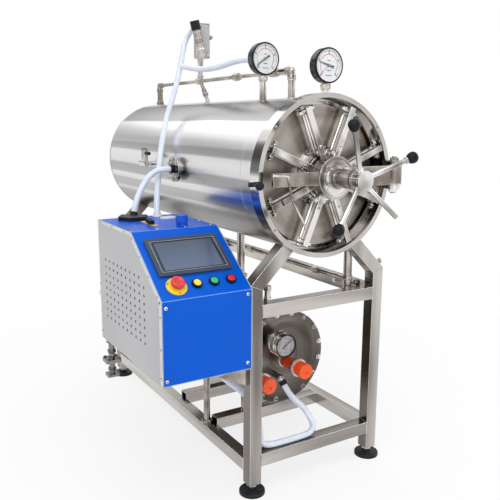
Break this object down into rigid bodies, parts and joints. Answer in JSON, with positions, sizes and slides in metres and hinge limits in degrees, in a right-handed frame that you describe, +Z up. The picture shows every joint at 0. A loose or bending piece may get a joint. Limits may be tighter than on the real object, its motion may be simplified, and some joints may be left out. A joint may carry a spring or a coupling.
{
  "type": "horizontal autoclave",
  "caption": "Horizontal steam autoclave with a radial-lock swing door and handwheel, jacketed round vessel on a tube stand, side control box and electric boiler below.",
  "frame": {"origin": "on the floor under the middle of the whole part", "axes": "+X to the right as seen from the door, +Y from the door towards the rear, +Z up"},
  "size_m": [0.801, 1.4546, 1.4956],
  "materials": {
    "satin_steel": "satin ground stainless tube",
    "foot_rubber": "black rubber",
    "polished_steel": "mirror polished stainless steel with soft brush lines",
    "inner_steel": "ground stainless plate",
    "door_steel": "satin stainless plate",
    "seal_rubber": "red silicone rubber",
    "bright_steel": "bright turned and plated steel",
    "black_plastic": "glossy black phenolic",
    "blue_paint": "glossy blue powder coat",
    "grey_paint": "light grey fine-texture paint",
    "slate_plastic": "slate grey moulded plastic",
    "screen_glass": "dark blue-grey display glass",
    "yellow_plastic": "yellow plastic",
    "green_plastic": "green plastic",
    "red_plastic": "red plastic",
    "dial_white": "white printed dial",
    "orange_plastic": "orange red plastic",
    "white_hose": "translucent white hose"
  },
  "bodies": {
    "machine": {"legs_front": "satin_steel", "legs_rear": "satin_steel", "cross_rails": "satin_steel", "side_rails": "satin_steel", "levelling_feet": "foot_rubber", "door_ring": "polished_steel", "jacket": "polished_steel", "chamber": "inner_steel", "jacket_end": "polished_steel", "chamber_end": "inner_steel", "hinge_lugs": "bright_steel", "hinge_pin": "bright_steel", "control_housing": "blue_paint", "side_panel_left": "grey_paint", "side_panel_right": "grey_paint", "screen_bezel": "slate_plastic", "screen": "screen_glass", "button_bezels": "black_plastic", "stop_plate": "yellow_plastic", "boiler_shell": "satin_steel", "boiler_cover": "satin_steel", "boiler_cradles": "satin_steel", "boiler_end": "satin_steel", "gauge_cases": "black_plastic", "gauge_stems": "bright_steel", "steam_pipe": "bright_steel", "safety_valve": "bright_steel", "side_fittings": "bright_steel", "underside_pipes": "bright_steel", "box_brackets": "satin_steel", "gauge_dials": "dial_white", "heater_covers": "orange_plastic", "boiler_fittings": "bright_steel", "glands_and_caps": "black_plastic", "box_caps": "blue_paint", "hose_main": "white_hose", "hose_gauge": "white_hose", "hose_port": "white_hose", "hose_drain": "white_hose"},
    "door": {"door_plate": "door_steel", "door_seal": "seal_rubber", "door_hub": "bright_steel", "spindle_housing": "bright_steel", "hinge_arm": "satin_steel", "door_strap": "satin_steel"},
    "wheel": {"handwheel": "bright_steel", "handwheel_knobs": "black_plastic"},
    "lock_1": {"lock_arm_1": "bright_steel"},
    "lock_2": {"lock_arm_2": "bright_steel"},
    "lock_3": {"lock_arm_3": "bright_steel"},
    "lock_4": {"lock_arm_4": "bright_steel"},
    "lock_5": {"lock_arm_5": "bright_steel"},
    "lock_6": {"lock_arm_6": "bright_steel"},
    "lock_7": {"lock_arm_7": "bright_steel"},
    "lock_8": {"lock_arm_8": "bright_steel"},
    "button_yellow": {"button_yellow": "yellow_plastic"},
    "button_green": {"button_green": "green_plastic"},
    "button_red": {"button_red": "red_plastic"},
    "stop_button": {"stop_button": "red_plastic"}
  },
  "joints": [
    {"name": "door_swing", "type": "hinge", "parent": "machine", "child": "door", "pos_m": [0.3615, -0.5567, 0.96], "axis": [0, 0, 1], "range_deg": [0, 115]},
    {"name": "handwheel_turn", "type": "hinge", "parent": "door", "child": "wheel", "pos_m": [0.1305, -0.6727, 0.96], "axis": [0, -1, 0], "range_deg": [0, 90]},
    {"name": "lock_slide_1", "type": "slide", "parent": "door", "child": "lock_1", "axis": [0.9239, 0, 0.3827], "range_m": [0, 0.009]},
    {"name": "lock_slide_2", "type": "slide", "parent": "door", "child": "lock_2", "axis": [0.3827, 0, 0.9239], "range_m": [0, 0.009]},
    {"name": "lock_slide_3", "type": "slide", "parent": "door", "child": "lock_3", "axis": [-0.3827, 0, 0.9239], "range_m": [0, 0.009]},
    {"name": "lock_slide_4", "type": "slide", "parent": "door", "child": "lock_4", "axis": [-0.9239, 0, 0.3827], "range_m": [0, 0.009]},
    {"name": "lock_slide_5", "type": "slide", "parent": "door", "child": "lock_5", "axis": [-0.9239, 0, -0.3827], "range_m": [0, 0.009]},
    {"name": "lock_slide_6", "type": "slide", "parent": "door", "child": "lock_6", "axis": [-0.3827, 0, -0.9239], "range_m": [0, 0.009]},
    {"name": "lock_slide_7", "type": "slide", "parent": "door", "child": "lock_7", "axis": [0.3827, 0, -0.9239], "range_m": [0, 0.009]},
    {"name": "lock_slide_8", "type": "slide", "parent": "door", "child": "lock_8", "axis": [0.9239, 0, -0.3827], "range_m": [0, 0.009]},
    {"name": "button_yellow_press", "type": "slide", "parent": "machine", "child": "button_yellow", "axis": [0, 0.5975, -0.8018], "range_m": [0, 0.003], "stiffness_N_per_m": 400},
    {"name": "button_green_press", "type": "slide", "parent": "machine", "child": "button_green", "axis": [0, 0.5975, -0.8018], "range_m": [0, 0.003], "stiffness_N_per_m": 400},
    {"name": "button_red_press", "type": "slide", "parent": "machine", "child": "button_red", "axis": [0, 0.5975, -0.8018], "range_m": [0, 0.003], "stiffness_N_per_m": 400},
    {"name": "stop_button_press", "type": "slide", "parent": "machine", "child": "stop_button", "axis": [0, 0.5975, -0.8018], "range_m": [0, 0.0035], "stiffness_N_per_m": 1500}
  ],
  "couplings": [
    {"joint": "lock_slide_1", "follows": "handwheel_turn", "m_per_rad": 0.0057296},
    {"joint": "lock_slide_2", "follows": "handwheel_turn", "m_per_rad": 0.0057296},
    {"joint": "lock_slide_3", "follows": "handwheel_turn", "m_per_rad": 0.0057296},
    {"joint": "lock_slide_4", "follows": "handwheel_turn", "m_per_rad": 0.0057296},
    {"joint": "lock_slide_5", "follows": "handwheel_turn", "m_per_rad": 0.0057296},
    {"joint": "lock_slide_6", "follows": "handwheel_turn", "m_per_rad": 0.0057296},
    {"joint": "lock_slide_7", "follows": "handwheel_turn", "m_per_rad": 0.0057296},
    {"joint": "lock_slide_8", "follows": "handwheel_turn", "m_per_rad": 0.0057296}
  ]
}
